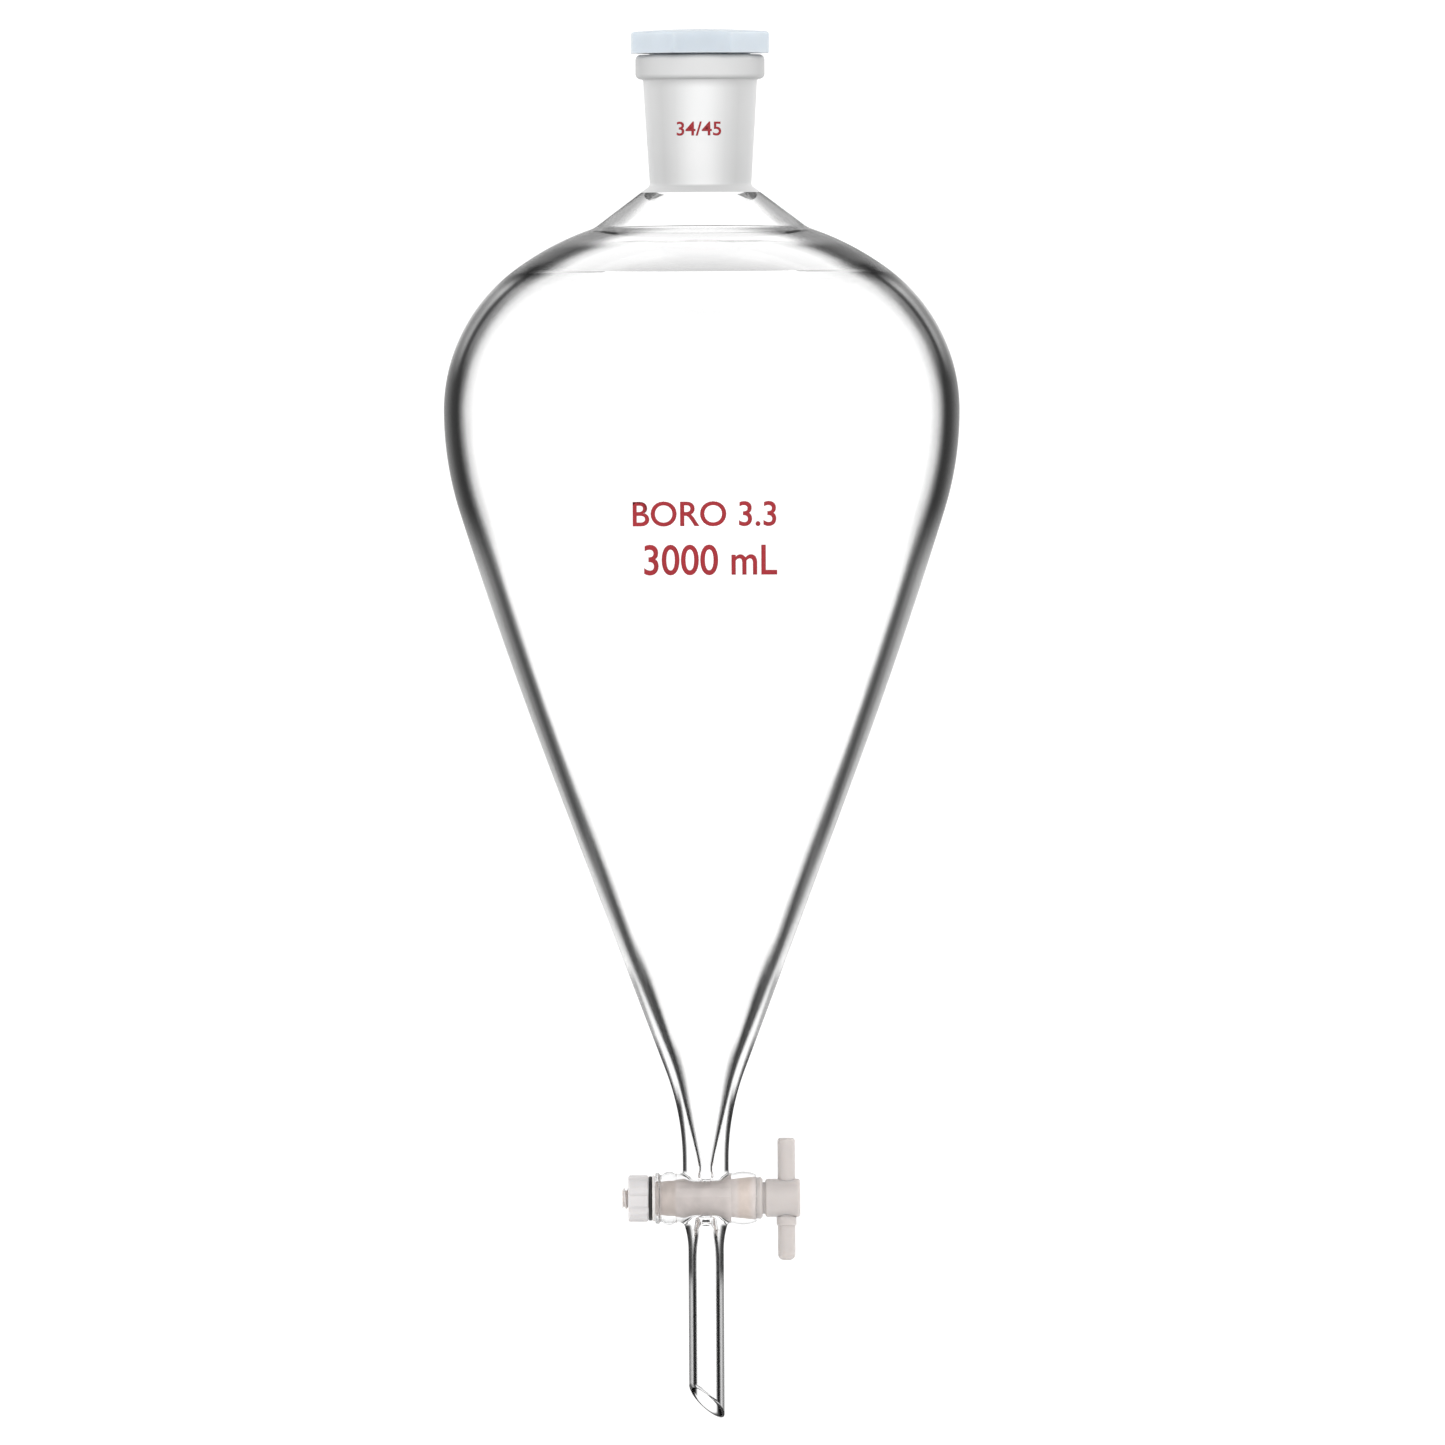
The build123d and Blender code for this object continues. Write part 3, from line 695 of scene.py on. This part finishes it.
def plastic(name, colour, roughness, subsurface=0.0, radius=0.002, transmission=0.0, mottle=0.05):
    """Moulded plastic with faint mottling and a fine surface texture."""
    shader = Shader(name)
    darker = tuple(c * (1 - mottle) for c in colour)
    grain = shader.noise(900.0, 4.0)
    rough = shader.add("MapRange", {"Value": grain, "To Min": roughness - 0.06, "To Max": roughness + 0.06})
    return shader.finish(shader.add("BsdfPrincipled", {
        "Base Color": shader.ramp(shader.noise(120.0, 3.0), [(0.3, darker), (0.7, colour)]),
        "Roughness": rough.outputs["Result"], "Normal": shader.bump(grain, 0.12, 0.0002), "IOR": 1.45,
        "Subsurface Weight": subsurface, "Subsurface Scale": radius, "Subsurface Radius": (1.0, 0.9, 0.8),
        "Transmission Weight": transmission}))


def glass_materials():
    """Materials of the glass, in the order of their slots."""
    return (clear_glass("clear_glass", GLASS_IOR), hollow_glass("hollow_glass", GLASS_IOR),
            ground_glass(), bore_glass(),
            clear_glass("flare_glass", FLARE_IOR), hollow_glass("flare_hollow_glass", FLARE_IOR),
            clear_glass("end_bead_glass", END_BEAD_IOR))


def paint_nodes():
    """Materials for the CAD nodes that stay as they are."""
    ptfe = plastic("ptfe", (0.57, 0.53, 0.512), 0.42, 0.6, 0.003)
    materials = {
        "stopper": plastic("stopper_plastic", (0.56, 0.62, 0.675), 0.35, 0.5, 0.006, 0.1),
        "stopcock_plug": ptfe,
        "handle_bar": ptfe,
        "washer": plastic("ptfe_washer", (0.80, 0.76, 0.74), 0.4, 0.4, 0.002),
        "o_ring": plastic("rubber", (0.018, 0.016, 0.015), 0.55, mottle=0.3),
        "lock_nut": plastic("nut_plastic", (0.67, 0.65, 0.65), 0.42, 0.4, 0.0015),
    }
    for node, material in materials.items():
        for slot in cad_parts[node].material_slots:
            slot.material = material


def flat_text(name, text):
    """Bmesh of a text's filled outline."""
    curve = bpy.data.curves.new(name, "FONT")
    curve.body = text
    curve.resolution_u = 6
    curve.offset = LETTER_WEIGHT
    source = bpy.data.objects.new(name + ".flat", curve)
    bpy.context.scene.collection.objects.link(source)
    bpy.context.view_layer.update()
    mesh = bpy.data.meshes.new_from_object(source)
    bpy.data.objects.remove(source)
    bpy.data.curves.remove(curve)
    bm = bmesh.new()
    bm.from_mesh(mesh)
    bpy.data.meshes.remove(mesh)
    return bm


def printed_mark(name, text, z_range, x_range, outline):
    """Lettering laid on the outer glass surface at the front."""
    bm = flat_text(name, text)
    spread = np.array([v.co[:] for v in bm.verts])
    low, high = spread.min(0), spread.max(0)
    for vert in bm.verts:
        across = x_range[0] + (vert.co.x - low[0]) / (high[0] - low[0]) * (x_range[1] - x_range[0])
        up = z_range[0] + (vert.co.y - low[1]) / (high[1] - low[1]) * (z_range[1] - z_range[0])
        vert.co = (across, 0, up)
    for _ in range(LETTER_CUTS):
        long_edges = [e for e in bm.edges if e.calc_length() > LETTER_PITCH]
        if long_edges:
            bmesh.ops.subdivide_edges(bm, edges=long_edges, cuts=1)
    bmesh.ops.triangulate(bm, faces=bm.faces)
    made = bmesh.ops.extrude_face_region(bm, geom=bm.faces[:])
    raised = {v for v in made["geom"] if isinstance(v, bmesh.types.BMVert)}
    for vert in bm.verts:
        r = float(radius_at(outline, vert.co.z)) + (LETTER_FACE if vert in raised else LETTER_FOOT)
        angle = vert.co.x / r - math.pi / 2
        vert.co = Vector((r * math.cos(angle), r * math.sin(angle), vert.co.z))
    bmesh.ops.recalc_face_normals(bm, faces=bm.faces)
    bmesh.ops.scale(bm, vec=(MM, MM, MM), verts=bm.verts)
    return finish_mesh(name, bm)


def surround():
    """White surround, weaker overhead and underfoot."""
    world = bpy.data.worlds.new("studio")
    bpy.context.scene.world = world
    world.use_nodes = True
    tree = world.node_tree
    height = tree.nodes.new("ShaderNodeSeparateXYZ")
    steep = tree.nodes.new("ShaderNodeMath")
    steep.operation = "ABSOLUTE"
    fade = tree.nodes.new("ShaderNodeMapRange")
    fade.interpolation_type = "SMOOTHSTEP"
    for key, value in SURROUND_FADE.items():
        fade.inputs[key].default_value = value
    tree.links.new(tree.nodes.new("ShaderNodeTexCoord").outputs["Generated"], height.inputs["Vector"])
    tree.links.new(height.outputs["Z"], steep.inputs[0])
    tree.links.new(steep.outputs[0], fade.inputs["Value"])
    tree.links.new(fade.outputs["Result"], tree.nodes["Background"].inputs["Strength"])
    tree.nodes["Background"].inputs["Color"].default_value = (1, 1, 1, 1)


def stage():
    """Plain pale floor, well below the funnel's tip."""
    bm = bmesh.new()
    bmesh.ops.create_circle(bm, cap_ends=True, segments=96, radius=FLOOR_R)
    floor = finish_mesh("floor", bm)
    floor.location.z = CAD_BOX[0][2] - FLOOR_DROP
    shader = Shader("floor_paint")
    base = shader.ramp(shader.noise(3.0, 3.0), [(0.3, (0.93, 0.93, 0.93)), (0.7, (0.95, 0.95, 0.95))])
    floor.data.materials.append(shader.finish(shader.add("BsdfDiffuse", {"Color": base, "Roughness": 0.4})))


def soft_light(name, place, target, size, power):
    data = bpy.data.lights.new(name, "AREA")
    data.shape = "RECTANGLE"
    data.size, data.size_y = size
    data.energy = power
    lamp = bpy.data.objects.new(name, data)
    bpy.context.scene.collection.objects.link(lamp)
    lamp.location = place
    lamp.rotation_euler = (Vector(target) - Vector(place)).to_track_quat("-Z", "Y").to_euler()


def camera():
    """Straight-on view with a long lens."""
    data = bpy.data.cameras.new("camera")
    data.sensor_width = SENSOR_WIDTH
    data.lens = SENSOR_WIDTH * CAMERA_DISTANCE / FRAME_WIDTH
    data.clip_end = CLIP_END
    thing = bpy.data.objects.new("camera", data)
    bpy.context.scene.collection.objects.link(thing)
    thing.location = (FRAME_X, -CAMERA_DISTANCE, FRAME_Z)
    thing.rotation_euler = (math.radians(90), math.radians(LEAN), 0)
    bpy.context.scene.camera = thing


bpy.context.scene.view_settings.view_transform = "Standard"

outside = outside_outline()
glass = funnel_glass(outside)
for material in glass_materials():
    glass.data.materials.append(material)
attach(glass, "funnel")
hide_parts("bulb", "neck_socket", "stopcock_barrel", "drip_stem")
paint_nodes()

red = plastic("red_enamel", (0.33, 0.008, 0.016), 0.5, mottle=0.15)
for name, text, z_range, x_range in MARKS:
    mark = printed_mark(name, text, z_range, x_range, outside)
    mark.data.materials.append(red)
    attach(mark, "funnel")

surround()
stage()
for name, settings in LIGHTS.items():
    soft_light(name, *settings)
camera()
